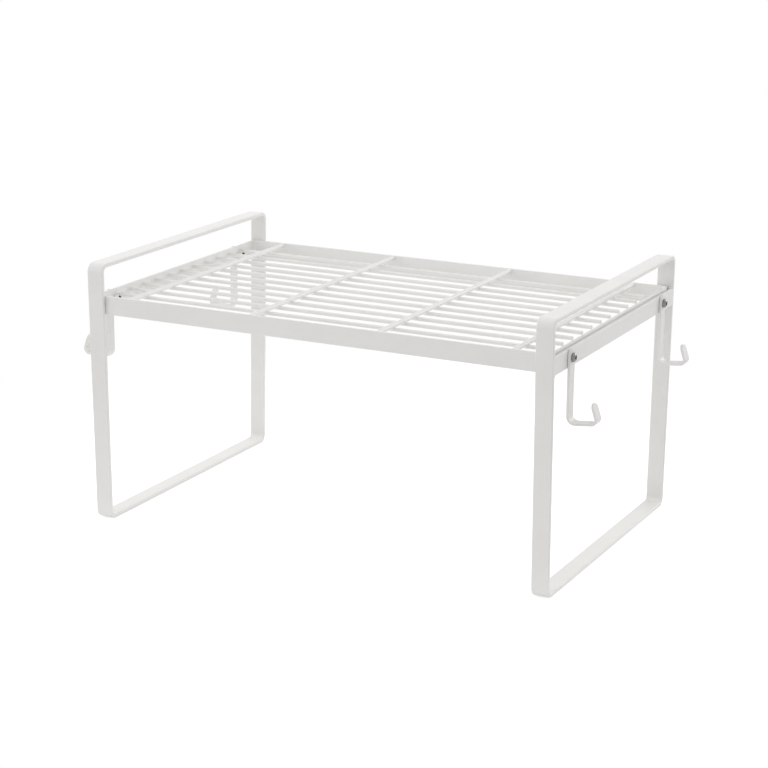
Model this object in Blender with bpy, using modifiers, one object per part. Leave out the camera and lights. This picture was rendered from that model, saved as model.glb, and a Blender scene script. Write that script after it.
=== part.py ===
"""Metal shelf organizer: a wire tray bolted between two bent strip loops, with a swivel hook at each screw.

Metres, +Z up. +X runs along the shelf and +Y to its back. The origin is on the floor, at the
centre of the footprint. Every piece is powder-coated steel, apart from the bright screws.
"""

import math

import bmesh
import bpy
from mathutils import Matrix, Vector

# Whole shelf
LENGTH = 0.400
HEIGHT = 0.214
DEPTH_AT_TOP = 0.262
DEPTH_AT_FOOT = 0.253
GAP = 0.0003
OVERRUN = 0.002
MERGE_DISTANCE = 0.00001

# Side loop, a flat strip bent into a closed loop: handle, two legs and foot in one
LOOP_STRIP_WIDTH = 0.014
LOOP_STRIP_THICKNESS = 0.0032
LOOP_BEND_RADIUS = 0.007
LOOP_EDGE_RADIUS = 0.0006

# Cross rail, welded between the legs of a loop
CROSS_RAIL_DROP = 0.028
CROSS_RAIL_HEIGHT = 0.014
CROSS_RAIL_THICKNESS = 0.003
CROSS_RAIL_EDGE_RADIUS = 0.0005

# Tray rim, a flat strip on edge, bent round the tray
RIM_DROP = 0.026
RIM_HEIGHT = 0.015
RIM_THICKNESS = 0.002
RIM_CORNER_RADIUS = 0.0055
RIM_EDGE_RADIUS = 0.0004

# Cross wires, under the load and level with the rim's top
WIRE_DIAMETER = 0.004
WIRE_COUNT = 4
WIRE_INSET = 0.0288

# Grid rods, pressed and welded to the underside of the cross wires
ROD_DIAMETER = 0.0032
ROD_COUNT = 11
ROD_SIDE_MARGIN = 0.0266
ROD_RIGHT_CLEARANCE = 0.0080
ROD_END_RADIUS = 0.0004
ROD_WELD_DEPTH = 0.0010

# Hook, a flat strip with round ends, bent to a J; the bend radii are on the inside
HOOK_WIDTH = 0.009
HOOK_THICKNESS = 0.002
HOOK_INSET = 0.0323
HOOK_TOP = 0.0068
HOOK_DROP = 0.0505
HOOK_REACH = 0.0242
HOOK_FOOT_BEND_RADIUS = 0.0045
HOOK_FOOT_RISE = math.radians(6)
HOOK_TIP_BEND_RADIUS = 0.0027
HOOK_TIP_LENGTH = 0.0114
HOOK_TIP_LEAN = math.radians(18)
HOOK_EDGE_RADIUS = 0.0004

# Pan-head screw through hook, cross rail and rim into the weld nut
SCREW_DROP = 0.0061
SCREW_DIAMETER = 0.0038
SCREW_LENGTH = 0.010
SCREW_HOLE_DIAMETER = 0.0046
SCREW_TIP_CHAMFER = 0.0005
HEAD_DIAMETER = 0.0070
HEAD_HEIGHT = 0.0027
HEAD_RIM_HEIGHT = 0.0009
RECESS_SPAN = 0.0039
RECESS_WING = 0.0010
RECESS_DEPTH = 0.0015

# Weld nut
NUT_SIDES = 6
NUT_ACROSS_FLATS = 0.008
NUT_HEIGHT = 0.0032
NUT_EDGE_RADIUS = 0.0004

# Facets
BEND_STEPS = 8
EDGE_STEPS = 2
WIRE_SIDES = 16
ROD_SIDES = 12
HOLE_SIDES = 24
HEAD_STEPS = 24
DOME_STEPS = 4
END_STEPS = 6
SHARP_ANGLE = math.radians(35)
BEVEL_ANGLE = math.radians(50)

# Finishes
COAT_COLOR = (0.80, 0.79, 0.77, 1.0)
COAT_ROUGHNESS = 0.42
STEEL_COLOR = (0.62, 0.61, 0.59, 1.0)
STEEL_ROUGHNESS = 0.28

# Places that follow from the sizes
HALF_LENGTH = LENGTH / 2
TILT = math.atan2((DEPTH_AT_TOP - DEPTH_AT_FOOT) / 2, HEIGHT)
CROSS_RAIL_TOP = HEIGHT - CROSS_RAIL_DROP
CROSS_RAIL_BOTTOM = CROSS_RAIL_TOP - CROSS_RAIL_HEIGHT
RIM_TOP = HEIGHT - RIM_DROP
RIM_BOTTOM = RIM_TOP - RIM_HEIGHT
RIM_HALF_LENGTH = HALF_LENGTH - CROSS_RAIL_THICKNESS - GAP
WIRE_RADIUS = WIRE_DIAMETER / 2
WIRE_Z = RIM_TOP - WIRE_RADIUS
ROD_RADIUS = ROD_DIAMETER / 2
ROD_Z = WIRE_Z - WIRE_RADIUS - ROD_RADIUS + ROD_WELD_DEPTH
INNER_END_X = RIM_HALF_LENGTH - RIM_THICKNESS - GAP
NUT_FACE_X = INNER_END_X - NUT_HEIGHT
ROD_RIGHT_X = INNER_END_X - ROD_RIGHT_CLEARANCE
SCREW_Z = CROSS_RAIL_TOP - SCREW_DROP
SCREW_Y = DEPTH_AT_TOP / 2 - HOOK_INSET
HOOK_X = HALF_LENGTH + GAP

SIDES = {"left": -1, "right": 1}
ROWS = {"front": -1, "back": 1}


def leg_half_depth(height, inset=0):
    """Half depth of the leg's plane that lies inset inside its outer face, at a height."""
    outer = DEPTH_AT_FOOT / 2 + height * math.tan(TILT)
    return outer - inset / math.cos(TILT)


RIM_HALF_DEPTH = leg_half_depth(RIM_BOTTOM, LOOP_STRIP_THICKNESS) - GAP


def clear_scene():
    for old in list(bpy.data.objects):
        bpy.data.objects.remove(old)


def new_collection(name):
    collection = bpy.data.collections.new(name)
    bpy.context.scene.collection.children.link(collection)
    return collection


def new_material(name, color, roughness, metallic):
    material = bpy.data.materials.new(name)
    material.use_nodes = True
    shader = material.node_tree.nodes["Principled BSDF"]
    shader.inputs["Base Color"].default_value = color
    shader.inputs["Roughness"].default_value = roughness
    shader.inputs["Metallic"].default_value = metallic
    material.diffuse_color = color
    return material


def coat(name):
    """White powder coat over steel."""
    return new_material(name, COAT_COLOR, COAT_ROUGHNESS, 0)


def steel(name):
    """Bright plated steel."""
    return new_material(name, STEEL_COLOR, STEEL_ROUGHNESS, 1)


def place(name, data, collection, location=(0, 0, 0), rotation=(0, 0, 0)):
    piece = bpy.data.objects.new(name, data)
    piece.location = location
    piece.rotation_euler = rotation
    collection.objects.link(piece)
    return piece


def hide_guide(guide):
    guide.hide_render = True
    guide.display_type = "WIRE"


def smooth(mesh):
    mesh.shade_smooth()
    mesh.set_sharp_from_angle(angle=SHARP_ANGLE)


def finished_mesh(piece, name, material):
    """The mesh that a piece's modifiers leave, welded, shaded and coated. The piece itself goes."""
    bpy.context.view_layer.update()
    evaluated = piece.evaluated_get(bpy.context.evaluated_depsgraph_get())
    mesh = bpy.data.meshes.new_from_object(evaluated)
    bpy.data.objects.remove(piece)
    mesh.name = name
    mesh.materials.clear()
    mesh.materials.append(material)
    smooth(mesh)
    return mesh


def add_bevel(piece, width, steps=EDGE_STEPS):
    bevel = piece.modifiers.new("Eased edges", "BEVEL")
    bevel.width = width
    bevel.segments = steps
    bevel.limit_method = "ANGLE"
    bevel.angle_limit = BEVEL_ANGLE


def add_cut(piece, cutter):
    cut = piece.modifiers.new("Cut by " + cutter.name, "BOOLEAN")
    cut.operation = "DIFFERENCE"
    cut.solver = "EXACT"
    cut.object = cutter


def rounded_outline(corners, radius, steps):
    """Points of a closed outline: straight sides, with an arc of the radius in place of each corner."""
    points = []
    for i, corner in enumerate(corners):
        before = (corners[i - 1] - corner).normalized()
        after = (corners[(i + 1) % len(corners)] - corner).normalized()
        half_angle = before.angle(after) / 2
        centre = corner + (before + after).normalized() * radius / math.sin(half_angle)
        first = corner + before * radius / math.tan(half_angle) - centre
        last = corner + after * radius / math.tan(half_angle) - centre
        sweep = first.angle_signed(last)
        for k in range(steps + 1):
            points.append(centre + Matrix.Rotation(-sweep * k / steps, 2) @ first)
    return points


def closed_curve(name, points, dimensions):
    curve = bpy.data.curves.new(name, "CURVE")
    curve.dimensions = dimensions
    curve.fill_mode = "FULL" if dimensions == "3D" else "NONE"
    spline = curve.splines.new("POLY")
    spline.points.add(len(points) - 1)
    for target, point in zip(spline.points, points):
        target.co = (point.x, point.y, 0, 1)
    spline.use_cyclic_u = True
    return curve


def rectangle(half_x, half_y):
    signs = ((-1, -1), (1, -1), (1, 1), (-1, 1))
    return [Vector((x * half_x, y * half_y)) for x, y in signs]


def bent_ring(name, path, thickness, width, edge_radius, material, guides):
    """Mesh of a flat strip bent on its thickness along a closed path, its width across the path's plane."""
    outline = rounded_outline(rectangle(thickness / 2, width / 2), edge_radius, EDGE_STEPS)
    outline.reverse()
    section = place(name + "_section", closed_curve(name + "_section", outline, "2D"), guides)
    hide_guide(section)
    ring = closed_curve(name, path, "3D")
    ring.twist_mode = "Z_UP"
    ring.bevel_mode = "OBJECT"
    ring.bevel_object = section
    return finished_mesh(place(name, ring, guides), name, material)


def cylinder(name, radius, depth, sides, axis, collection, location=(0, 0, 0)):
    """A cylinder along X, Y or Z, as an object at the location."""
    turns = {"X": Matrix.Rotation(math.pi / 2, 4, "Y"), "Y": Matrix.Rotation(math.pi / 2, 4, "X")}
    solid = bmesh.new()
    bmesh.ops.create_cone(
        solid, cap_ends=True, segments=sides, radius1=radius, radius2=radius, depth=depth,
        matrix=turns.get(axis, Matrix.Identity(4)),
    )
    mesh = bpy.data.meshes.new(name)
    solid.to_mesh(mesh)
    solid.free()
    return place(name, mesh, collection, location)


def box(name, size, collection, location=(0, 0, 0)):
    solid = bmesh.new()
    bmesh.ops.create_cube(solid, size=1, matrix=Matrix.Diagonal((*size, 1)))
    mesh = bpy.data.meshes.new(name)
    solid.to_mesh(mesh)
    solid.free()
    return place(name, mesh, collection, location)


def build_loops(parts, guides):
    """The two side loops. Each path is drawn in the loop's own plane, X to the back and Y up."""
    half = LOOP_STRIP_THICKNESS / 2
    low, high = half, HEIGHT - half
    corners = [
        Vector((-leg_half_depth(low, half), low)), Vector((leg_half_depth(low, half), low)),
        Vector((leg_half_depth(high, half), high)), Vector((-leg_half_depth(high, half), high)),
    ]
    path = rounded_outline(corners, LOOP_BEND_RADIUS - half, BEND_STEPS)
    mesh = bent_ring(
        "side_loop", path, LOOP_STRIP_THICKNESS, LOOP_STRIP_WIDTH, LOOP_EDGE_RADIUS,
        coat("side_loop_coat"), guides,
    )
    for side, sign in SIDES.items():
        middle = sign * (HALF_LENGTH - LOOP_STRIP_WIDTH / 2)
        place(side + "_side_loop", mesh, parts, (middle, 0, 0), (math.pi / 2, 0, math.pi / 2))


def build_screw_holes(name, reach, guides):
    """Cutter for one screw's hole, through everything that it clamps."""
    holes = []
    for side, sign in SIDES.items():
        for row, way in ROWS.items():
            hole = cylinder(
                f"{name}_{row}_{side}", SCREW_HOLE_DIAMETER / 2, reach, HOLE_SIDES, "X", guides,
                (sign * (HALF_LENGTH - CROSS_RAIL_THICKNESS), way * SCREW_Y, SCREW_Z),
            )
            hide_guide(hole)
            holes.append(hole)
    return holes


def build_cross_rails(parts, holes):
    material = coat("cross_rail_coat")
    half_depth = leg_half_depth(CROSS_RAIL_BOTTOM, LOOP_STRIP_THICKNESS) - GAP
    for side, sign in SIDES.items():
        rail = box(
            side + "_cross_rail", (CROSS_RAIL_THICKNESS, 2 * half_depth, CROSS_RAIL_HEIGHT), parts,
            (sign * (HALF_LENGTH - CROSS_RAIL_THICKNESS / 2), 0, CROSS_RAIL_TOP - CROSS_RAIL_HEIGHT / 2),
        )
        rail.data.materials.append(material)
        add_bevel(rail, CROSS_RAIL_EDGE_RADIUS)
        for hole in holes:
            add_cut(rail, hole)


def build_rim(parts, guides, holes):
    half = RIM_THICKNESS / 2
    corners = rectangle(RIM_HALF_LENGTH - half, RIM_HALF_DEPTH - half)
    path = rounded_outline(corners, RIM_CORNER_RADIUS - half, BEND_STEPS)
    mesh = bent_ring(
        "tray_rim", path, RIM_THICKNESS, RIM_HEIGHT, RIM_EDGE_RADIUS, coat("tray_rim_coat"), guides,
    )
    rim = place("tray_rim", mesh, parts, (0, 0, RIM_TOP - RIM_HEIGHT / 2))
    for hole in holes:
        add_cut(rim, hole)


def wire_places():
    """X of each cross wire: evenly spread, the outer ones inset from the rim's ends."""
    outer = INNER_END_X - WIRE_INSET
    return [outer * (2 * k / (WIRE_COUNT - 1) - 1) for k in range(WIRE_COUNT)]


def rod_places():
    """Y of each grid rod: evenly spread, the outer ones a margin inside the rim."""
    outer = RIM_HALF_DEPTH - RIM_THICKNESS - ROD_SIDE_MARGIN
    return [outer * (2 * k / (ROD_COUNT - 1) - 1) for k in range(ROD_COUNT)]


def build_cross_wires(parts):
    length = 2 * (RIM_HALF_DEPTH - RIM_THICKNESS - GAP)
    wire = cylinder("cross_wire", WIRE_RADIUS, length, WIRE_SIDES, "Y", parts)
    mesh = finished_mesh(wire, "cross_wire", coat("cross_wire_coat"))
    for number, x in enumerate(wire_places(), 1):
        place(f"cross_wire_{number}", mesh, parts, (x, 0, WIRE_Z))


def build_rods(parts, guides):
    """Grid rods with a shallow seat under each cross wire.

    They run from the rim's left end, the outermost two from its weld nuts, and end free on the right.
    """
    seats = []
    for number, x in enumerate(wire_places(), 1):
        seat = cylinder(
            f"rod_seat_{number}", WIRE_RADIUS + GAP, 2 * ROD_DIAMETER, WIRE_SIDES, "Y", guides,
            (x, 0, WIRE_Z - ROD_Z),
        )
        hide_guide(seat)
        seats.append(seat)
    kinds = {}
    for name, left_x in (("grid_rod", -INNER_END_X), ("outer_grid_rod", GAP - NUT_FACE_X)):
        middle = (left_x + ROD_RIGHT_X) / 2
        rod = cylinder(name, ROD_RADIUS, ROD_RIGHT_X - left_x, ROD_SIDES, "X", parts, (middle, 0, 0))
        add_bevel(rod, ROD_END_RADIUS)
        for seat in seats:
            add_cut(rod, seat)
        kinds[name] = (finished_mesh(rod, name, coat(name + "_coat")), middle)
    for number, y in enumerate(rod_places(), 1):
        mesh, middle = kinds["outer_grid_rod" if number in (1, ROD_COUNT) else "grid_rod"]
        place(f"grid_rod_{number:02d}", mesh, parts, (middle, y, ROD_Z))


def angles(first, last, steps):
    return [first + (last - first) * k / steps for k in range(steps + 1)]


def hook_stations():
    """Stations down the middle of the hook's thickness: (x, z, half width), from its top to its tip.

    x is the distance out from the cross rail's face and z the height over the screw's axis.
    """
    half = HOOK_THICKNESS / 2
    end = HOOK_WIDTH / 2
    foot = HOOK_FOOT_BEND_RADIUS + half
    tip = HOOK_TIP_BEND_RADIUS + half
    stations = []
    for a in angles(0, math.pi / 2, END_STEPS):
        stations.append((half, HOOK_TOP - end + end * math.cos(a), end * math.sin(a)))
    foot_z = foot + half - HOOK_DROP
    for a in angles(0, math.pi / 2 + HOOK_FOOT_RISE, BEND_STEPS):
        stations.append((half + foot - foot * math.cos(a), foot_z - foot * math.sin(a), end))
    low_x, low_z, _ = stations[-1]
    tip_x = HOOK_REACH - half - tip
    rise = (tip_x + tip * math.sin(HOOK_FOOT_RISE) - low_x) * math.tan(HOOK_FOOT_RISE)
    tip_z = low_z + rise + tip * math.cos(HOOK_FOOT_RISE)
    for a in angles(HOOK_FOOT_RISE, math.pi / 2 + HOOK_TIP_LEAN, BEND_STEPS):
        stations.append((tip_x + tip * math.sin(a), tip_z - tip * math.cos(a), end))
    bend_x, bend_z, _ = stations[-1]
    for a in angles(math.pi / 2, 0, END_STEPS):
        run = HOOK_TIP_LENGTH - end + end * math.cos(a)
        x = bend_x - run * math.sin(HOOK_TIP_LEAN)
        z = bend_z + run * math.cos(HOOK_TIP_LEAN)
        stations.append((x, z, end * math.sin(a)))
    return stations


def build_hooks(parts, guides):
    """Hooks, each with its origin on its screw's axis, at the cross rail's face."""
    stations = hook_stations()
    solid = bmesh.new()
    bmesh.ops.create_grid(solid, x_segments=len(stations) - 1, y_segments=1, size=1)
    for vert in solid.verts:
        column = round((vert.co.x + 1) / 2 * (len(stations) - 1))
        x, z, half_width = stations[column]
        vert.co = (x, math.copysign(half_width, vert.co.y), z)
    bmesh.ops.remove_doubles(solid, verts=solid.verts, dist=MERGE_DISTANCE)
    mesh = bpy.data.meshes.new("hook")
    solid.to_mesh(mesh)
    solid.free()
    hook = place("hook", mesh, parts)
    shell = hook.modifiers.new("Strip thickness", "SOLIDIFY")
    shell.thickness = HOOK_THICKNESS
    shell.offset = 0
    shell.use_even_offset = True
    add_bevel(hook, HOOK_EDGE_RADIUS)
    depth = HOOK_THICKNESS + 2 * OVERRUN
    hole = cylinder("hook_hole", SCREW_HOLE_DIAMETER / 2, depth, HOLE_SIDES, "X", guides)
    hide_guide(hole)
    add_cut(hook, hole)
    mesh = finished_mesh(hook, "hook", coat("hook_coat"))
    for side, sign in SIDES.items():
        for row, way in ROWS.items():
            faces = (0, 0, 0 if sign > 0 else math.pi)
            place(f"hook_{row}_{side}", mesh, parts, (sign * HOOK_X, way * SCREW_Y, SCREW_Z), faces)


def screw_profile():
    """Outline of a pan-head screw from its crown to its tip, as (radius, height over the head's seat)."""
    head = HEAD_DIAMETER / 2
    dome = HEAD_HEIGHT - HEAD_RIM_HEIGHT
    shank = SCREW_DIAMETER / 2
    points = []
    for k in range(DOME_STEPS + 1):
        a = math.pi / 2 * k / DOME_STEPS
        points.append((head * math.sin(a), HEAD_RIM_HEIGHT + dome * math.cos(a)))
    points.append((head, 0))
    points.append((shank, 0))
    points.append((shank, SCREW_TIP_CHAMFER - SCREW_LENGTH))
    points.append((shank - SCREW_TIP_CHAMFER, -SCREW_LENGTH))
    points.append((0, -SCREW_LENGTH))
    return points


def build_screws(parts, guides):
    """Screws, turned about their own Z, then laid along X with their heads outwards."""
    outline = bmesh.new()
    verts = [outline.verts.new((radius, 0, height)) for radius, height in screw_profile()]
    for first, second in zip(verts, verts[1:]):
        outline.edges.new((first, second))
    mesh = bpy.data.meshes.new("hook_screw")
    outline.to_mesh(mesh)
    outline.free()
    screw = place("hook_screw", mesh, parts)
    turned = screw.modifiers.new("Turned", "SCREW")
    turned.steps = HEAD_STEPS
    turned.render_steps = HEAD_STEPS
    turned.use_merge_vertices = True
    turned.merge_threshold = MERGE_DISTANCE
    turned.use_smooth_shade = True
    for number, wing in enumerate(((RECESS_SPAN, RECESS_WING), (RECESS_WING, RECESS_SPAN)), 1):
        recess = box(f"recess_{number}", (*wing, 2 * RECESS_DEPTH), guides, (0, 0, HEAD_HEIGHT))
        hide_guide(recess)
        add_cut(screw, recess)
    mesh = finished_mesh(screw, "hook_screw", steel("hook_screw_steel"))
    seat = HOOK_X + HOOK_THICKNESS + GAP
    for side, sign in SIDES.items():
        for row, way in ROWS.items():
            place(
                f"hook_screw_{row}_{side}", mesh, parts, (sign * seat, way * SCREW_Y, SCREW_Z),
                (0, sign * math.pi / 2, 0),
            )


def build_nuts(parts, guides):
    """Weld nuts on the inner face of the rim's ends."""
    corner_radius = NUT_ACROSS_FLATS / 2 / math.cos(math.pi / NUT_SIDES)
    nut = cylinder("weld_nut", corner_radius, NUT_HEIGHT, NUT_SIDES, "X", parts)
    add_bevel(nut, NUT_EDGE_RADIUS, 1)
    depth = NUT_HEIGHT + 2 * OVERRUN
    bore = cylinder("nut_bore", SCREW_DIAMETER / 2 + GAP, depth, HOLE_SIDES, "X", guides)
    hide_guide(bore)
    add_cut(nut, bore)
    mesh = finished_mesh(nut, "weld_nut", coat("weld_nut_coat"))
    middle = NUT_FACE_X + NUT_HEIGHT / 2
    for side, sign in SIDES.items():
        for row, way in ROWS.items():
            place(f"weld_nut_{row}_{side}", mesh, parts, (sign * middle, way * SCREW_Y, SCREW_Z))


def build():
    clear_scene()
    parts = new_collection("metal_shelf_organizer")
    guides = new_collection("cutters")
    holes = build_screw_holes("screw_hole", 2 * (CROSS_RAIL_THICKNESS + RIM_THICKNESS + OVERRUN), guides)
    build_loops(parts, guides)
    build_cross_rails(parts, holes)
    build_rim(parts, guides, holes)
    build_cross_wires(parts)
    build_rods(parts, guides)
    build_hooks(parts, guides)
    build_screws(parts, guides)
    build_nuts(parts, guides)


build()
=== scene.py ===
"""Looks of the metal shelf organizer: powder-coated strip, wire and rod, bright screws, a pale studio.

Metres, in the frame of the CAD model: +X along the shelf, +Y to its back, +Z up, origin on the floor.
Each coated piece is built again with finer bends and edges in the place of its CAD node, and the
welds between them are added under the same coat.
"""

import math

import bmesh
import bpy
from mathutils import Matrix, Vector


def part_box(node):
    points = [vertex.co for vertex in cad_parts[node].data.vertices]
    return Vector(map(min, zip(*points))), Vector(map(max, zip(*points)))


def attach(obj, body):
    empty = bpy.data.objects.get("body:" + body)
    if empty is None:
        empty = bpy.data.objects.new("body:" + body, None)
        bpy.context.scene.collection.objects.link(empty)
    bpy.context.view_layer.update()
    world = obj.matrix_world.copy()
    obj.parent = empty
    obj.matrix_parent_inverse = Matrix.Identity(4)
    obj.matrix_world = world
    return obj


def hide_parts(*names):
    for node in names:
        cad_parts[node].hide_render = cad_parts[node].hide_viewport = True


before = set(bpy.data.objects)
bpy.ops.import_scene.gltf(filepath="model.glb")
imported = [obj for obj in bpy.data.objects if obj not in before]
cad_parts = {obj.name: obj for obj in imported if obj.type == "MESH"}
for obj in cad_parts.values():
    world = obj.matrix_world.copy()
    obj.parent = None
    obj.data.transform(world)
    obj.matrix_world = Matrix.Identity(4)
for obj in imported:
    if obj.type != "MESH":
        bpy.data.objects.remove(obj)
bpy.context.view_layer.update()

# Sizes that the nodes' boxes don't give, the same as in the CAD model
LOOP_DEPTH_AT_TOP = 0.262
LOOP_DEPTH_AT_FOOT = 0.253
LOOP_THICKNESS = 0.0032
LOOP_BEND_RADIUS = 0.007
LOOP_EDGE_RADIUS = 0.0006
RAIL_EDGE_RADIUS = 0.0005
RIM_THICKNESS = 0.002
RIM_CORNER_RADIUS = 0.0055
RIM_EDGE_RADIUS = 0.0004
ROD_END_RADIUS = 0.0004
HOOK_THICKNESS = 0.002
HOOK_FOOT_BEND_RADIUS = 0.0045
HOOK_FOOT_RISE = math.radians(6)
HOOK_TIP_BEND_RADIUS = 0.0027
HOOK_TIP_LENGTH = 0.0114
HOOK_TIP_LEAN = math.radians(18)
HOOK_EDGE_RADIUS = 0.0004
SCREW_DIAMETER = 0.0038
SCREW_HOLE_DIAMETER = 0.0046
SCREW_TIP_CHAMFER = 0.0005
HEAD_HEIGHT = 0.0027
HEAD_RIM_HEIGHT = 0.0009

# Detail that only shows
RECESS_SPAN = 0.0044
RECESS_WING = 0.0011
RECESS_DEPTH = 0.0022
RECESS_FLOOR_SHARE = 0.35
RECESS_SHADE_DEPTH = 0.00012
THREAD_PITCH = 0.0007
THREAD_DEPTH = 0.00028
NUT_BORE_DIAMETER = 0.0042
NUT_CHAMFER = math.radians(30)
NUT_EDGE_RADIUS = 0.00035
SEAT_DEPTH = 0.0004
BEAD_BLEND = 0.0018
BEAD_REACH = 0.0055
WELD_SINK = 0.00004
WIRE_FILLET = 0.0012
ROD_FILLET = 0.0008
WELDED_GAP = 0.001
RAIL_FILLET = 0.0016

# Facets
BEND_STEPS = 20
EDGE_STEPS = 4
HOOK_BEND_STEPS = 20
HOOK_END_STEPS = 12
ROUND_STEPS = 36
NUT_SIDES = 6
THREAD_STEPS = 6
HEAD_STEPS = 10
FILLET_STEPS = 6
BEAD_SUBDIVISIONS = 4
BISECTIONS = 24
SMOOTH_ANGLE = math.radians(40)
BEVEL_ANGLE = math.radians(50)
OVERRUN = 0.002
MERGE_DISTANCE = 0.00001

# Powder coat. Each noise is (scale, detail), and each range the part of a noise that is spread out
COAT_TONE_LOW = (0.785, 0.775, 0.757)
COAT_TONE_HIGH = (0.815, 0.806, 0.787)
# Edge tone: thinner coat and wear, plus a painted highlight along the edges
COAT_WORN_AND_HIGHLIT_EDGE_TONE = (0.87, 0.865, 0.85)
COAT_SPECK_TONE = (0.66, 0.65, 0.63)
MIDDLE_RANGE = (0.3, 0.7)
CLOUD_NOISE = (28, 3)
EDGE_WEAR_AND_HIGHLIGHT_NOISE = (160, 4)
EDGE_WEAR_AND_HIGHLIGHT_RANGE = (0.45, 0.7)
EDGE_WEAR_AND_HIGHLIGHT_LEAST = 0.25
EDGE_WEAR_AND_HIGHLIGHT_PALENESS = 0.35
RUB_POLISH = 0.08
SPECK_NOISE = (900, 1)
SPECK_RANGE = (0.74, 0.8)
SPECK_DARKNESS = 0.25
SATIN_NOISE = (90, 3)
SATIN_ROUGHNESS = (0.36, 0.46)
FINE_PEEL_NOISE = (1100, 2)
BROAD_PEEL_NOISE = (300, 1)
BROAD_PEEL_WEIGHT = 1.5
PEEL_STRENGTH = 0.35
PEEL_DEPTH = 0.00006
EDGE_MASK_RADIUS = 0.0007
EDGE_MASK_COSINES = (1.0, 0.9)
EDGE_MASK_SAMPLES = 6

# Plated steel, bright outside; a darker copy is painted shade in screw recesses and nut bores
BRIGHT_TONE = (0.28, 0.272, 0.256)
BRIGHT_ROUGHNESS = (0.10, 0.24)
PAINTED_SHADE_TONE = (0.13, 0.125, 0.115)
PAINTED_SHADE_ROUGHNESS = (0.35, 0.5)
TARNISH_NOISE = (900, 4)
TARNISH_RANGE = (0.35, 0.7)
TARNISH_TONE_SHARE = 0.6
GLOSS_NOISE = (1500, 2)
TURNING_NOISE = (2600, 2)
TURNING_STRENGTH = 0.25
TURNING_DEPTH = 0.00003

# Picture and camera
PICTURE_PIXELS = 768
SENSOR_WIDTH = 36.0
FOCAL_PIXELS = 2114.7
CAMERA_PLACE = (0.7472, -1.4950, 0.5686)
CAMERA_YAW = math.radians(26.58)
CAMERA_PITCH = math.radians(15.366)
CAMERA_ROLL = math.radians(0.512)

# Light
WORLD_STRENGTH = 0.62
FLOOR_ALBEDO = 0.75
FLOOR_LIFT = 0.52
FLOOR_RADIUS = 4.0
FLOOR_STEPS = 96
FLOOR_DROP = 0.0002
FLOOR_NEAR = 0.30
FLOOR_FAR = 0.55
POOL_STRENGTH = 0.18
POOL_NEAR = 0.22
POOL_FAR = 0.40
LAMPS = {
    "overhead": {"place": (-0.2, -0.1, 2.3), "size": 1.4, "power": 9},
    "left": {"place": (-2.2, 0.2, 0.8), "size": 0.3, "power": 20},
    "front_left": {"place": (-1.4, -2.0, 1.0), "size": 1.4, "power": 7},
    "front": {"place": (0.3, -2.4, 0.9), "size": 1.4, "power": 3},
    "back_right": {"place": (1.3, 2.0, 1.0), "size": 1.4, "power": 17},
}
LAMP_AIM = (0, 0, 0.1)

SIDES = {"left": -1, "right": 1}
ROWS = {"front": -1, "back": 1}
COAT_SLOT = "white_powder_coat"
STEEL_SLOT = "bright_steel"


# Meshes

def piece_from(name, mesh, material, body, slot, *nodes):
    """An object for a mesh, shaded smooth, riding on a body in place of the named CAD nodes."""
    mesh.name = name
    mesh.materials.append(material)
    mesh.shade_smooth()
    mesh.set_sharp_from_angle(angle=SMOOTH_ANGLE)
    piece = bpy.data.objects.new(name, mesh)
    bpy.context.scene.collection.objects.link(piece)
    weighted = piece.modifiers.new("Face normals", "WEIGHTED_NORMAL")
    weighted.keep_sharp = True
    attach(piece, body)
    if nodes:
        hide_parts(*nodes)
    return piece


def skin(rings, closed=False):
    """A closed mesh over rings of points of one count: round and round, or capped at both ends."""
    solid = bmesh.new()
    rows = [[solid.verts.new(point) for point in ring] for ring in rings]
    following = rows[1:] + rows[:1] if closed else rows[1:]
    for row, other in zip(rows, following):
        for i in range(len(row)):
            solid.faces.new((row[i - 1], row[i], other[i], other[i - 1]))
    if not closed:
        solid.faces.new(rows[0])
        solid.faces.new(rows[-1])
    return mesh_from(solid)


def mesh_from(solid):
    bmesh.ops.recalc_face_normals(solid, faces=solid.faces)
    mesh = bpy.data.meshes.new("shape")
    solid.to_mesh(mesh)
    solid.free()
    return mesh


def joined(placed):
    """One mesh from (mesh, matrix) pairs."""
    whole = bmesh.new()
    for mesh, matrix in placed:
        before = len(whole.verts)
        whole.from_mesh(mesh)
        whole.verts.ensure_lookup_table()
        bmesh.ops.transform(whole, matrix=matrix, verts=whole.verts[before:])
    return mesh_from(whole)


def evaluated(mesh, *modifiers):
    """The mesh after modifiers, each given as (type, settings)."""
    piece = bpy.data.objects.new("shaped", mesh)
    bpy.context.scene.collection.objects.link(piece)
    for kind, settings in modifiers:
        modifier = piece.modifiers.new(kind, kind)
        for key, value in settings.items():
            setattr(modifier, key, value)
    bpy.context.view_layer.update()
    result = bpy.data.meshes.new_from_object(piece.evaluated_get(bpy.context.evaluated_depsgraph_get()))
    bpy.data.objects.remove(piece)
    return result


def bevel(width, steps):
    return "BEVEL", {
        "width": width, "segments": steps, "limit_method": "ANGLE", "angle_limit": BEVEL_ANGLE,
    }


def cut(mesh, *cutters):
    """The mesh less the cutters' meshes."""
    tools = []
    for cutter in cutters:
        tool = bpy.data.objects.new("cutter", cutter)
        bpy.context.scene.collection.objects.link(tool)
        tools.append(tool)
    shaped = evaluated(
        mesh, *[("BOOLEAN", {"operation": "DIFFERENCE", "solver": "EXACT", "object": t}) for t in tools]
    )
    for tool in tools:
        bpy.data.objects.remove(tool)
    return shaped


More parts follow.
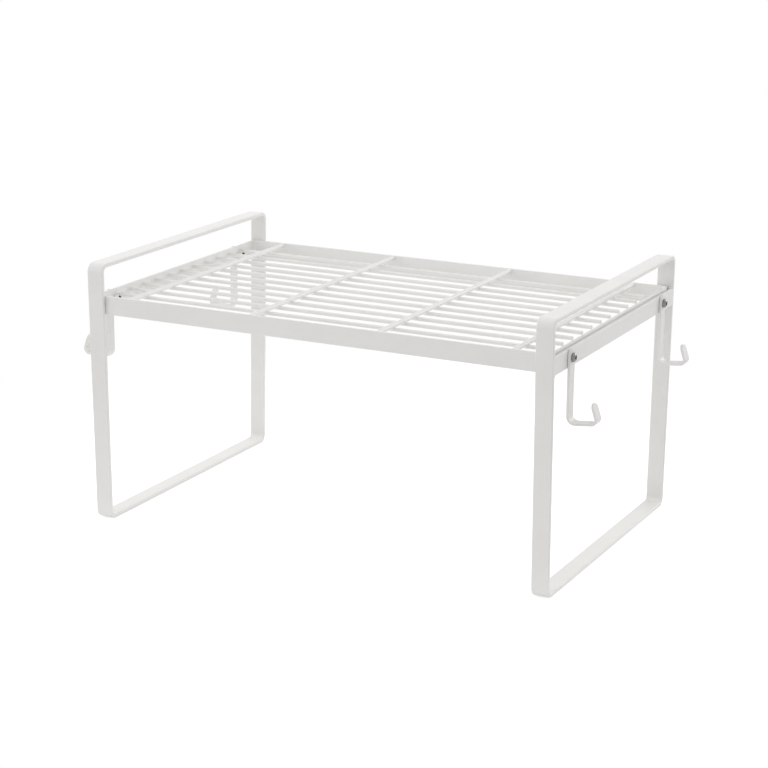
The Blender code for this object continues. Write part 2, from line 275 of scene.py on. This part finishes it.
def rounded_path(corners, radius, steps):
    """Stations round a convex outline with an arc for each corner: (point, outward normal)."""
    stations = []
    for i, corner in enumerate(corners):
        before = (corners[i - 1] - corner).normalized()
        after = (corners[(i + 1) % len(corners)] - corner).normalized()
        half_angle = before.angle(after) / 2
        centre = corner + (before + after).normalized() * radius / math.sin(half_angle)
        first = corner + before * radius / math.tan(half_angle) - centre
        last = corner + after * radius / math.tan(half_angle) - centre
        sweep = first.angle_signed(last)
        for k in range(steps + 1):
            normal = (Matrix.Rotation(-sweep * k / steps, 2) @ first).normalized()
            stations.append((centre + normal * radius, normal))
    return stations


def rectangle(half_x, half_y):
    signs = ((-1, -1), (1, -1), (1, 1), (-1, 1))
    return [Vector((x * half_x, y * half_y)) for x, y in signs]


def strip_section(thickness, width, edge_radius):
    """Outline of a flat strip's section: (offset across the thickness, offset across the width)."""
    return [point for point, _ in rounded_path(rectangle(thickness / 2, width / 2), edge_radius, EDGE_STEPS)]


def circle(radius, steps):
    """Stations round a circle: (point, outward normal)."""
    normals = [Vector((math.cos(a), math.sin(a))) for a in turns(steps)]
    return [(normal * radius, normal) for normal in normals]


def turns(steps):
    return [2 * math.pi * k / steps for k in range(steps)]


def steps_between(first, last, steps):
    return [first + (last - first) * k / steps for k in range(steps + 1)]


def screw_hole(reach):
    """Cutter for a screw's hole along X through the origin."""
    section = circle(SCREW_HOLE_DIAMETER / 2, ROUND_STEPS)
    return skin([[(x, *point) for point, _ in section] for x in (-reach, reach)])


# Coated strip, wire and rod

LOOP_LOW, LOOP_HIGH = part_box("right_side_loop")
LEG_TILT = math.atan2((LOOP_DEPTH_AT_TOP - LOOP_DEPTH_AT_FOOT) / 2, LOOP_HIGH.z)


def leg_half_depth(height, inset):
    """Half depth of the leg's plane that lies inset inside its outer face, at a height."""
    outer = LOOP_DEPTH_AT_FOOT / 2 + height * math.tan(LEG_TILT)
    return outer - inset / math.cos(LEG_TILT)


def build_loops(material):
    half = LOOP_THICKNESS / 2
    low, high = half, LOOP_HIGH.z - half
    corners = [
        Vector((-leg_half_depth(low, half), low)), Vector((leg_half_depth(low, half), low)),
        Vector((leg_half_depth(high, half), high)), Vector((-leg_half_depth(high, half), high)),
    ]
    path = rounded_path(corners, LOOP_BEND_RADIUS - half, BEND_STEPS)
    section = strip_section(LOOP_THICKNESS, LOOP_HIGH.x - LOOP_LOW.x, LOOP_EDGE_RADIUS)
    for side in SIDES:
        low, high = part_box(side + "_side_loop")
        middle = (low.x + high.x) / 2
        rings = [
            [(middle + across, *(point + normal * out)) for out, across in section]
            for point, normal in path
        ]
        mesh = skin(rings, closed=True)
        piece_from(side + "_loop_strip", mesh, material, "frame", COAT_SLOT, side + "_side_loop")


def screw_holes(reach):
    """Cutters for the four screws' holes, through everything that each clamps."""
    holes = []
    for side in SIDES:
        for row in ROWS:
            low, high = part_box(f"hook_screw_{row}_{side}")
            holes.append(joined([(screw_hole(reach), Matrix.Translation((low + high) / 2))]))
    return holes


def collar(outline, face, way, radius_at):
    """Concave weld fillet round a bar that runs along Y, on a face at y = face(z), towards way."""
    rings = []
    for point, normal in outline:
        radius = radius_at(normal)
        profile = [
            (radius * (1 - math.sin(a)), radius * (1 - math.cos(a)))
            for a in steps_between(0, math.pi / 2, FILLET_STEPS)
        ]
        profile += [(-SEAT_DEPTH, radius), (-SEAT_DEPTH, -SEAT_DEPTH), (radius, -SEAT_DEPTH)]
        ring = []
        for out, along in profile:
            place = point + normal * (out - WELD_SINK)
            ring.append((place.x, way * (face(place.y) - along + WELD_SINK), place.y))
        rings.append(ring)
    return skin(rings, closed=True)


def build_rails(material, holes):
    """Cross rails, let into the legs a little, with a weld fillet on all but the flush outer face."""
    for side, sign in SIDES.items():
        low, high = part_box(side + "_cross_rail")
        middle = (low + high) / 2
        half_x, half_z = (high.x - low.x) / 2, (high.z - low.z) / 2
        outline = [
            (point + Vector((middle.x, middle.z)), normal)
            for point, normal in rounded_path(rectangle(half_x, half_z), RAIL_EDGE_RADIUS, EDGE_STEPS)
        ]
        rings = []
        for way in ROWS.values():
            rings.append([
                (point.x, way * (leg_half_depth(point.y, LOOP_THICKNESS) + SEAT_DEPTH), point.y)
                for point, _ in outline
            ])
        piece_from(
            side + "_rail_bar", cut(skin(rings), *holes), material, "frame", COAT_SLOT, side + "_cross_rail",
        )

        def fillet(normal):
            return RAIL_FILLET * (1 - max(0, normal.x * sign))

        def leg_face(height):
            return leg_half_depth(height, LOOP_THICKNESS)

        fillets = [(collar(outline, leg_face, way, fillet), Matrix.Identity(4)) for way in ROWS.values()]
        piece_from(side + "_rail_welds", joined(fillets), material, "frame", COAT_SLOT)


def build_rim(material, holes):
    low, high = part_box("tray_rim")
    half = RIM_THICKNESS / 2
    path = rounded_path(rectangle(high.x - half, high.y - half), RIM_CORNER_RADIUS - half, BEND_STEPS)
    section = strip_section(RIM_THICKNESS, high.z - low.z, RIM_EDGE_RADIUS)
    middle = (low.z + high.z) / 2
    rings = [
        [(*(point + normal * out), middle + across) for out, across in section]
        for point, normal in path
    ]
    mesh = cut(skin(rings, closed=True), *holes)
    piece_from("tray_rim_strip", mesh, material, "frame", COAT_SLOT, "tray_rim")
    return high.y - RIM_THICKNESS


def bar(radius, stations, axis):
    """A round bar along an axis: stations are (distance along it, share of the radius)."""
    order = {"X": (2, 0, 1), "Y": (0, 2, 1)}[axis]
    rings = []
    for along, share in stations:
        ring = []
        for point, _ in circle(radius, ROUND_STEPS):
            values = (point.x * share, point.y * share, along)
            ring.append(Vector([values[i] for i in order]))
        rings.append(ring)
    return skin(rings)


def smooth_union(first, second):
    """Distance to the blend of two surfaces, from the distances to each."""
    overlap = max(BEAD_BLEND - abs(first - second), 0) / BEAD_BLEND
    return min(first, second) - overlap * overlap * BEAD_BLEND / 4


def weld_bead(wire_radius, rod_radius, rod_drop):
    """Weld between a wire along Y through the origin and a rod along X below it, under one coat."""
    top_of_rod, foot_of_wire = rod_radius - rod_drop, -wire_radius
    centre = Vector((0, 0, (top_of_rod + foot_of_wire) / 2))

    def outside(place):
        to_wire = math.hypot(place.x, place.z) - wire_radius
        to_rod = math.hypot(place.y, place.z + rod_drop) - rod_radius
        return smooth_union(to_wire, to_rod) + WELD_SINK > 0

    ball = bmesh.new()
    bmesh.ops.create_icosphere(ball, subdivisions=BEAD_SUBDIVISIONS, radius=1)
    for vert in ball.verts:
        inner, outer = 0, BEAD_REACH
        for _ in range(BISECTIONS):
            middle = (inner + outer) / 2
            if outside(centre + vert.co * middle):
                outer = middle
            else:
                inner = middle
        vert.co = centre + vert.co * inner
    return mesh_from(ball)


def build_grid(material, rim_face, rim_end):
    """Cross wires and rods into the rim, rods pressed into the wires' undersides, and the welds between.

    A rod's end that stops short of the rim, as on the right and at the nuts, stays rounded and free.
    """
    wires = sorted(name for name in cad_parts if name.startswith("cross_wire"))
    rods = sorted(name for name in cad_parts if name.startswith("grid_rod"))
    rod_low, rod_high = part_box(rods[0])
    rod_radius = (rod_high.y - rod_low.y) / 2
    wire_low, wire_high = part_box(wires[0])
    wire_radius = (wire_high.x - wire_low.x) / 2
    rod_drop = (wire_low.z + wire_high.z) / 2 - (rod_low.z + rod_radius)
    bead = weld_bead(wire_radius, rod_radius, rod_drop)

    rod_ends = []
    for a in steps_between(0, math.pi / 2, EDGE_STEPS):
        share = 1 - ROD_END_RADIUS / rod_radius * (1 - math.sin(a))
        rod_ends.append((ROD_END_RADIUS * (1 - math.cos(a)), share))
    section = circle(rod_radius, ROUND_STEPS)
    end_welds = []
    for name in rods:
        low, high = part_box(name)
        centre = (low + high) / 2
        if low.x + rim_end < WELDED_GAP:
            stations = [(-rim_end - SEAT_DEPTH, 1)]
            weld = collar(section, lambda height: rim_end, 1, lambda normal: ROD_FILLET)
            turned = Matrix.Rotation(math.pi / 2, 4, "Z")
            end_welds.append((weld, Matrix.Translation((0, centre.y, centre.z)) @ turned))
        else:
            stations = [(low.x + inset, share) for inset, share in rod_ends]
        stations += [(high.x - inset, share) for inset, share in reversed(rod_ends)]
        mesh = bar(rod_radius, stations, "X")
        mesh.transform(Matrix.Translation((0, centre.y, centre.z)))
        piece_from(name.replace("rod", "bar"), mesh, material, "frame", COAT_SLOT, name)
    piece_from("grid_rod_welds", joined(end_welds), material, "frame", COAT_SLOT)

    for name in wires:
        low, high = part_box(name)
        centre = (low + high) / 2
        reach = rim_face + SEAT_DEPTH
        mesh = bar(wire_radius, [(-reach, 1), (reach, 1)], "Y")
        mesh.transform(Matrix.Translation((centre.x, 0, centre.z)))
        piece_from(name.replace("wire", "bar"), mesh, material, "frame", COAT_SLOT, name)
        welds = []
        for rod in rods:
            low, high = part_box(rod)
            welds.append((bead, Matrix.Translation((centre.x, (low.y + high.y) / 2, centre.z))))
        outline = [
            (point + Vector((centre.x, centre.z)), normal)
            for point, normal in circle(wire_radius, ROUND_STEPS)
        ]

        def fillet(normal):
            return WIRE_FILLET * (1 - max(0, normal.y))

        for way in ROWS.values():
            welds.append((collar(outline, lambda height: rim_face, way, fillet), Matrix.Identity(4)))
        piece_from(name + "_welds", joined(welds), material, "frame", COAT_SLOT)


# Hooks, screws and nuts

def hook_stations(width, top, drop, reach):
    """Stations down the middle of the hook's thickness: (x, z, half width), from its top to its tip."""
    half = HOOK_THICKNESS / 2
    end = width / 2
    foot = HOOK_FOOT_BEND_RADIUS + half
    tip = HOOK_TIP_BEND_RADIUS + half
    stations = []
    for a in steps_between(0, math.pi / 2, HOOK_END_STEPS):
        stations.append((half, top - end + end * math.cos(a), end * math.sin(a)))
    foot_z = foot + half - drop
    for a in steps_between(0, math.pi / 2 + HOOK_FOOT_RISE, HOOK_BEND_STEPS):
        stations.append((half + foot - foot * math.cos(a), foot_z - foot * math.sin(a), end))
    low_x, low_z, _ = stations[-1]
    tip_x = reach - half - tip
    rise = (tip_x + tip * math.sin(HOOK_FOOT_RISE) - low_x) * math.tan(HOOK_FOOT_RISE)
    tip_z = low_z + rise + tip * math.cos(HOOK_FOOT_RISE)
    for a in steps_between(HOOK_FOOT_RISE, math.pi / 2 + HOOK_TIP_LEAN, HOOK_BEND_STEPS):
        stations.append((tip_x + tip * math.sin(a), tip_z - tip * math.cos(a), end))
    bend_x, bend_z, _ = stations[-1]
    for a in steps_between(math.pi / 2, 0, HOOK_END_STEPS):
        run = HOOK_TIP_LENGTH - end + end * math.cos(a)
        x = bend_x - run * math.sin(HOOK_TIP_LEAN)
        z = bend_z + run * math.cos(HOOK_TIP_LEAN)
        stations.append((x, z, end * math.sin(a)))
    return stations


def build_hooks(material):
    for side, sign in SIDES.items():
        for row in ROWS:
            node = f"hook_{row}_{side}"
            low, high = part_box(node)
            screw_low, screw_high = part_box(f"hook_screw_{row}_{side}")
            axis = (screw_low + screw_high) / 2
            stations = hook_stations(
                high.y - low.y, high.z - axis.z, axis.z - low.z, high.x - low.x,
            )
            strip = bmesh.new()
            bmesh.ops.create_grid(strip, x_segments=len(stations) - 1, y_segments=1, size=1)
            for vert in strip.verts:
                column = round((vert.co.x + 1) / 2 * (len(stations) - 1))
                x, z, half_width = stations[column]
                vert.co = (x, math.copysign(half_width, vert.co.y), z)
            bmesh.ops.remove_doubles(strip, verts=strip.verts, dist=MERGE_DISTANCE)
            mesh = evaluated(
                mesh_from(strip),
                ("SOLIDIFY", {"thickness": HOOK_THICKNESS, "offset": 0, "use_even_offset": True}),
                bevel(HOOK_EDGE_RADIUS, EDGE_STEPS - 1),
            )
            mesh = cut(mesh, screw_hole(HOOK_THICKNESS + OVERRUN))
            if sign < 0:
                mesh.transform(Matrix.Rotation(math.pi, 4, "Z"))
            face = low.x if sign > 0 else high.x
            mesh.transform(Matrix.Translation((face, axis.y, axis.z)))
            piece_from(f"{row}_{side}_j_hook", mesh, material, f"{row}_{side}_hook", COAT_SLOT, node)


def threaded(radius, depth, first, last):
    """Rings of a screw thread about Z between two heights, its crests at the radius."""
    rings = []
    count = math.ceil(abs(last - first) / THREAD_PITCH * THREAD_STEPS)
    for z in steps_between(first, last, count):
        ring = []
        for k, (point, normal) in enumerate(circle(radius, ROUND_STEPS)):
            phase = (z / THREAD_PITCH - k / ROUND_STEPS) % 1
            ring.append((*(point - normal * depth * abs(2 * phase - 1)), z))
        rings.append(ring)
    return rings


def screw_mesh(head_radius, length):
    """A pan-head screw about Z with its seat at z = 0: domed head, cross recess, threaded shank."""
    dome = HEAD_HEIGHT - HEAD_RIM_HEIGHT
    shank = SCREW_DIAMETER / 2
    rings = []
    for a in steps_between(math.pi / 2 / HEAD_STEPS / 2, math.pi / 2, HEAD_STEPS):
        radius, z = head_radius * math.sin(a), HEAD_RIM_HEIGHT + dome * math.cos(a)
        rings.append([(*point, z) for point, _ in circle(radius, ROUND_STEPS)])
    rings.append([(*point, 0) for point, _ in circle(head_radius, ROUND_STEPS)])
    rings += threaded(shank, THREAD_DEPTH, 0, SCREW_TIP_CHAMFER - length)
    tip = shank - SCREW_TIP_CHAMFER
    rings.append([(*point, -length) for point, _ in circle(tip, ROUND_STEPS)])
    wings = []
    for span, wing in ((RECESS_SPAN, RECESS_WING), (RECESS_WING, RECESS_SPAN)):
        wings.append(recess_wing(span, wing))
    return cut(skin(rings), *wings)


def recess_wing(span_x, span_y):
    """Cutter for one bar of the cross recess, narrower at its floor along its length."""
    top = HEAD_HEIGHT + OVERRUN
    floor = HEAD_HEIGHT - RECESS_DEPTH
    slope = (1 - RECESS_FLOOR_SHARE) / RECESS_DEPTH
    rings = []
    for z in (floor, top):
        share = RECESS_FLOOR_SHARE + slope * (z - floor)
        long_x, long_y = span_x > span_y, span_y > span_x
        half_x = span_x / 2 * (share if long_x else 1)
        half_y = span_y / 2 * (share if long_y else 1)
        rings.append([(*corner, z) for corner in rectangle(half_x, half_y)])
    return skin(rings)


def second_material(piece, material, inside):
    """A second material on the faces whose centre passes a test."""
    piece.data.materials.append(material)
    for face in piece.data.polygons:
        face.material_index = int(inside(face.center))


def build_screws(bright, dark):
    """Screws, with painted shade in the recess: the dark material on faces well below the dome's surface."""
    for side, sign in SIDES.items():
        for row in ROWS:
            node = f"hook_screw_{row}_{side}"
            low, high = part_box(node)
            length = high.x - low.x - HEAD_HEIGHT
            head_radius = (high.z - low.z) / 2
            mesh = screw_mesh(head_radius, length)
            seat = high.x - HEAD_HEIGHT if sign > 0 else low.x + HEAD_HEIGHT
            axis = (low + high) / 2
            mesh.transform(
                Matrix.Translation((seat, axis.y, axis.z)) @ Matrix.Rotation(sign * math.pi / 2, 4, "Y")
            )
            piece = piece_from(f"{row}_{side}_pan_screw", mesh, bright, "frame", STEEL_SLOT, node)

            def in_recess(place):
                spread = math.hypot(place.y - axis.y, place.z - axis.z)
                if spread > RECESS_SPAN / 2:
                    return False
                dome = (HEAD_HEIGHT - HEAD_RIM_HEIGHT) * math.sqrt(1 - (spread / head_radius) ** 2)
                height = abs(place.x - seat)
                return height < HEAD_RIM_HEIGHT + dome - RECESS_SHADE_DEPTH and sign * (place.x - seat) > 0

            second_material(piece, dark, in_recess)


def nut_mesh(across_flats, height):
    """A hexagon nut about Z with a threaded bore, its corners chamfered on both faces."""
    apothem = across_flats / 2
    sector = 2 * math.pi / NUT_SIDES
    bore = NUT_BORE_DIAMETER / 2
    hexagon = []
    for a in turns(ROUND_STEPS):
        reach = apothem / math.cos((a + sector / 2) % sector - sector / 2)
        hexagon.append((Vector((math.cos(a), math.sin(a))), reach))
    half = height / 2
    rings = threaded(bore + THREAD_DEPTH, THREAD_DEPTH, -half, half)
    rings.append([(*(normal * apothem), half) for normal, _ in hexagon])
    for way in (1, -1):
        rings.append([
            (*(normal * reach), way * (half - NUT_EDGE_RADIUS - (reach - apothem) * math.tan(NUT_CHAMFER)))
            for normal, reach in hexagon
        ])
    rings.append([(*(normal * apothem), -half) for normal, _ in hexagon])
    return skin(rings, closed=True)


def build_nuts(coat, bare_thread_with_painted_shade, rim_end):
    for side, sign in SIDES.items():
        for row in ROWS:
            node = f"weld_nut_{row}_{side}"
            low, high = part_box(node)
            height = rim_end - min(abs(low.x), abs(high.x)) + SEAT_DEPTH
            mesh = nut_mesh(min(high.y - low.y, high.z - low.z), height)
            mesh.transform(Matrix.Rotation(math.pi / 2, 4, "Z"))
            axis = (low + high) / 2
            mesh.transform(
                Matrix.Translation((sign * (rim_end + SEAT_DEPTH - height / 2), axis.y, axis.z))
                @ Matrix.Rotation(math.pi / 2, 4, "Y")
            )
            piece = piece_from(f"{row}_{side}_hex_nut", mesh, coat, "frame", COAT_SLOT, node)

            # Painted shade: the bore's faces take the dark steel, bare thread darkened as shade
            def in_bore(place):
                spread = math.hypot(place.y - axis.y, place.z - axis.z)
                return spread < NUT_BORE_DIAMETER / 2 + THREAD_DEPTH

            second_material(piece, bare_thread_with_painted_shade, in_bore)


# Materials

def new_material(name):
    """A material with an empty node tree, and its tree."""
    material = bpy.data.materials.new(name)
    material.use_nodes = True
    material.node_tree.nodes.clear()
    return material, material.node_tree


def noise(tree, coordinates, scale, detail):
    texture = tree.nodes.new("ShaderNodeTexNoise")
    texture.inputs["Scale"].default_value = scale
    texture.inputs["Detail"].default_value = detail
    tree.links.new(coordinates, texture.inputs["Vector"])
    return texture.outputs["Fac"]


def ranged(tree, value, low, high, to_low, to_high):
    """The value's range from low to high mapped to another, held at its ends."""
    mapped = tree.nodes.new("ShaderNodeMapRange")
    mapped.inputs["From Min"].default_value = low
    mapped.inputs["From Max"].default_value = high
    mapped.inputs["To Min"].default_value = to_low
    mapped.inputs["To Max"].default_value = to_high
    tree.links.new(value, mapped.inputs["Value"])
    return mapped.outputs["Result"]


def blended(tree, share, first, second):
    """A colour between two, each a colour or a socket."""
    mix = tree.nodes.new("ShaderNodeMix")
    mix.data_type = "RGBA"
    tree.links.new(share, mix.inputs["Factor"])
    for colour, socket in ((first, mix.inputs["A"]), (second, mix.inputs["B"])):
        if isinstance(colour, tuple):
            socket.default_value = (*colour, 1)
        else:
            tree.links.new(colour, socket)
    return mix.outputs["Result"]


def math_node(tree, operation, first, second):
    node = tree.nodes.new("ShaderNodeMath")
    node.operation = operation
    for value, socket in ((first, node.inputs[0]), (second, node.inputs[1])):
        if isinstance(value, (int, float)):
            socket.default_value = value
        else:
            tree.links.new(value, socket)
    return node.outputs["Value"]


def edge_mask(tree, radius):
    """1 on edges sharper than the radius, 0 on flat faces.

    It is read from how far a rounded normal turns from the true one.
    """
    rounded = tree.nodes.new("ShaderNodeBevel")
    rounded.samples = EDGE_MASK_SAMPLES
    rounded.inputs["Radius"].default_value = radius
    geometry = tree.nodes.new("ShaderNodeNewGeometry")
    dot = tree.nodes.new("ShaderNodeVectorMath")
    dot.operation = "DOT_PRODUCT"
    tree.links.new(rounded.outputs["Normal"], dot.inputs[0])
    tree.links.new(geometry.outputs["Normal"], dot.inputs[1])
    return ranged(tree, dot.outputs["Value"], *EDGE_MASK_COSINES, 0, 1)


def add_bump(tree, height, strength, depth, shader):
    """Relief from a height: strength is Blender's own, depth in metres."""
    bump = tree.nodes.new("ShaderNodeBump")
    bump.inputs["Strength"].default_value = strength
    bump.inputs["Distance"].default_value = depth
    tree.links.new(height, bump.inputs["Height"])
    tree.links.new(bump.outputs["Normal"], shader.inputs["Normal"])


def powder_coat():
    """Off-white satin powder coat: faint clouds of tone, orange peel, and edges paler from a thinner coat,
    wear and a painted highlight.
    """
    material, tree = new_material("white_powder_coat")
    place = tree.nodes.new("ShaderNodeTexCoord").outputs["Object"]
    shader = tree.nodes.new("ShaderNodeBsdfPrincipled")
    output = tree.nodes.new("ShaderNodeOutputMaterial")
    tree.links.new(shader.outputs["BSDF"], output.inputs["Surface"])

    clouds = ranged(tree, noise(tree, place, *CLOUD_NOISE), *MIDDLE_RANGE, 0, 1)
    colour = blended(tree, clouds, COAT_TONE_LOW, COAT_TONE_HIGH)
    # Edges paler: thinner coat and wear, plus a painted highlight along them; the same mask lowers their
    # roughness
    edges = edge_mask(tree, EDGE_MASK_RADIUS)
    edge_wear_and_highlight_spread = ranged(tree, noise(tree, place, *EDGE_WEAR_AND_HIGHLIGHT_NOISE), *EDGE_WEAR_AND_HIGHLIGHT_RANGE, EDGE_WEAR_AND_HIGHLIGHT_LEAST, 1)
    edge_wear_and_highlight = math_node(tree, "MULTIPLY", edges, edge_wear_and_highlight_spread)
    pale = math_node(tree, "MULTIPLY", edge_wear_and_highlight, EDGE_WEAR_AND_HIGHLIGHT_PALENESS)
    colour = blended(tree, pale, colour, COAT_WORN_AND_HIGHLIT_EDGE_TONE)
    specks = ranged(tree, noise(tree, place, *SPECK_NOISE), *SPECK_RANGE, 0, SPECK_DARKNESS)
    colour = blended(tree, specks, colour, COAT_SPECK_TONE)
    tree.links.new(colour, shader.inputs["Base Color"])

    satin = ranged(tree, noise(tree, place, *SATIN_NOISE), *MIDDLE_RANGE, *SATIN_ROUGHNESS)
    polish = math_node(tree, "MULTIPLY", edge_wear_and_highlight, RUB_POLISH)
    tree.links.new(math_node(tree, "SUBTRACT", satin, polish), shader.inputs["Roughness"])

    fine = noise(tree, place, *FINE_PEEL_NOISE)
    broad = math_node(tree, "MULTIPLY", noise(tree, place, *BROAD_PEEL_NOISE), BROAD_PEEL_WEIGHT)
    add_bump(tree, math_node(tree, "ADD", fine, broad), PEEL_STRENGTH, PEEL_DEPTH, shader)
    return material


def plated_steel(name, tone, roughness_range):
    """Bright plated steel with fine turning marks and a little tarnish."""
    material, tree = new_material(name)
    place = tree.nodes.new("ShaderNodeTexCoord").outputs["Object"]
    shader = tree.nodes.new("ShaderNodeBsdfPrincipled")
    output = tree.nodes.new("ShaderNodeOutputMaterial")
    tree.links.new(shader.outputs["BSDF"], output.inputs["Surface"])
    shader.inputs["Metallic"].default_value = 1

    tarnish = ranged(tree, noise(tree, place, *TARNISH_NOISE), *TARNISH_RANGE, 0, 1)
    dark = tuple(value * TARNISH_TONE_SHARE for value in tone)
    tree.links.new(blended(tree, tarnish, tone, dark), shader.inputs["Base Color"])
    roughness = ranged(tree, noise(tree, place, *GLOSS_NOISE), *MIDDLE_RANGE, *roughness_range)
    tree.links.new(roughness, shader.inputs["Roughness"])
    add_bump(tree, noise(tree, place, *TURNING_NOISE), TURNING_STRENGTH, TURNING_DEPTH, shader)
    return material


# Studio

def seen_directly(tree):
    """1 for camera, glossy and transmission rays."""
    path = tree.nodes.new("ShaderNodeLightPath").outputs
    seen = math_node(tree, "MAXIMUM", path["Is Camera Ray"], path["Is Glossy Ray"])
    return math_node(tree, "MAXIMUM", seen, path["Is Transmission Ray"])


def build_world():
    """White to the eye and in reflections; softer as light."""
    world = bpy.data.worlds.new("studio")
    bpy.context.scene.world = world
    world.use_nodes = True
    tree = world.node_tree
    tree.nodes.clear()
    output = tree.nodes.new("ShaderNodeOutputWorld")
    light = tree.nodes.new("ShaderNodeBackground")
    light.inputs["Strength"].default_value = WORLD_STRENGTH
    white = tree.nodes.new("ShaderNodeBackground")
    white.inputs["Strength"].default_value = 1
    for background in (light, white):
        background.inputs["Color"].default_value = (1, 1, 1, 1)
    mix = tree.nodes.new("ShaderNodeMixShader")
    tree.links.new(seen_directly(tree), mix.inputs["Fac"])
    tree.links.new(light.outputs[0], mix.inputs[1])
    tree.links.new(white.outputs[0], mix.inputs[2])
    tree.links.new(mix.outputs[0], output.inputs["Surface"])


def build_floor():
    """Pale floor: it takes the object's shadow near it and goes to white further out.

    To the rays that light the object, the floor near it glows a little, like a pool of lamplight.
    """
    disc = bmesh.new()
    bmesh.ops.create_circle(disc, cap_ends=True, segments=FLOOR_STEPS, radius=FLOOR_RADIUS)
    mesh = mesh_from(disc)
    floor = bpy.data.objects.new("floor", mesh)
    floor.location.z = -FLOOR_DROP
    bpy.context.scene.collection.objects.link(floor)
    material, tree = new_material("floor")
    mesh.materials.append(material)
    output = tree.nodes.new("ShaderNodeOutputMaterial")
    matt = tree.nodes.new("ShaderNodeBsdfDiffuse")
    matt.inputs["Color"].default_value = (FLOOR_ALBEDO, FLOOR_ALBEDO, FLOOR_ALBEDO, 1)
    distance = tree.nodes.new("ShaderNodeVectorMath")
    distance.operation = "LENGTH"
    place = tree.nodes.new("ShaderNodeTexCoord").outputs["Object"]
    tree.links.new(place, distance.inputs[0])
    distance = distance.outputs["Value"]
    seen = seen_directly(tree)
    pool = ranged(tree, distance, POOL_NEAR, POOL_FAR, POOL_STRENGTH, 0)
    pool = math_node(tree, "MULTIPLY", pool, math_node(tree, "SUBTRACT", 1, seen))
    lift = tree.nodes.new("ShaderNodeEmission")
    lifted = math_node(tree, "ADD", pool, math_node(tree, "MULTIPLY", seen, FLOOR_LIFT))
    tree.links.new(lifted, lift.inputs["Strength"])
    near = tree.nodes.new("ShaderNodeAddShader")
    tree.links.new(matt.outputs[0], near.inputs[0])
    tree.links.new(lift.outputs[0], near.inputs[1])
    white = tree.nodes.new("ShaderNodeEmission")
    white.inputs["Strength"].default_value = 1
    away = ranged(tree, distance, FLOOR_NEAR, FLOOR_FAR, 0, 1)
    far = tree.nodes.new("ShaderNodeMixShader")
    tree.links.new(math_node(tree, "MULTIPLY", away, seen), far.inputs["Fac"])
    tree.links.new(near.outputs[0], far.inputs[1])
    tree.links.new(white.outputs[0], far.inputs[2])
    tree.links.new(far.outputs[0], output.inputs["Surface"])


def build_lamps():
    for name, lamp in LAMPS.items():
        data = bpy.data.lights.new(name, "AREA")
        data.shape = "SQUARE"
        data.size = lamp["size"]
        data.energy = lamp["power"]
        light = bpy.data.objects.new(name, data)
        light.location = lamp["place"]
        direction = Vector(LAMP_AIM) - Vector(lamp["place"])
        light.rotation_euler = direction.to_track_quat("-Z", "Y").to_euler()
        light.visible_camera = False
        bpy.context.scene.collection.objects.link(light)


def build_camera():
    """The photograph's camera: yaw about +Z, pitch down from the horizon, then roll."""
    data = bpy.data.cameras.new("camera")
    data.sensor_width = SENSOR_WIDTH
    data.lens = FOCAL_PIXELS / PICTURE_PIXELS * SENSOR_WIDTH
    camera = bpy.data.objects.new("camera", data)
    turn = Matrix.Rotation(CAMERA_YAW, 4, "Z") @ Matrix.Rotation(math.pi / 2 - CAMERA_PITCH, 4, "X")
    camera.matrix_world = Matrix.Translation(CAMERA_PLACE) @ turn @ Matrix.Rotation(CAMERA_ROLL, 4, "Z")
    bpy.context.scene.collection.objects.link(camera)
    bpy.context.scene.camera = camera


build_camera()
build_world()
build_floor()
build_lamps()

coat = powder_coat()
steel = plated_steel("bright_steel", BRIGHT_TONE, BRIGHT_ROUGHNESS)
# Dark steel: painted shade in screw recesses and nut bores
bore = plated_steel("painted_shade_steel", PAINTED_SHADE_TONE, PAINTED_SHADE_ROUGHNESS)
rim_low, rim_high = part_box("tray_rim")
screw_low, screw_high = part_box("hook_screw_front_right")
holes = screw_holes((screw_high.x - screw_low.x) / 2 + OVERRUN)
build_loops(coat)
build_rails(coat, holes)
rim_face = build_rim(coat, holes)
build_grid(coat, rim_face, rim_high.x - RIM_THICKNESS)
build_hooks(coat)
build_screws(steel, bore)
build_nuts(coat, bore, rim_high.x - RIM_THICKNESS)

bpy.context.scene.view_settings.view_transform = "Standard"
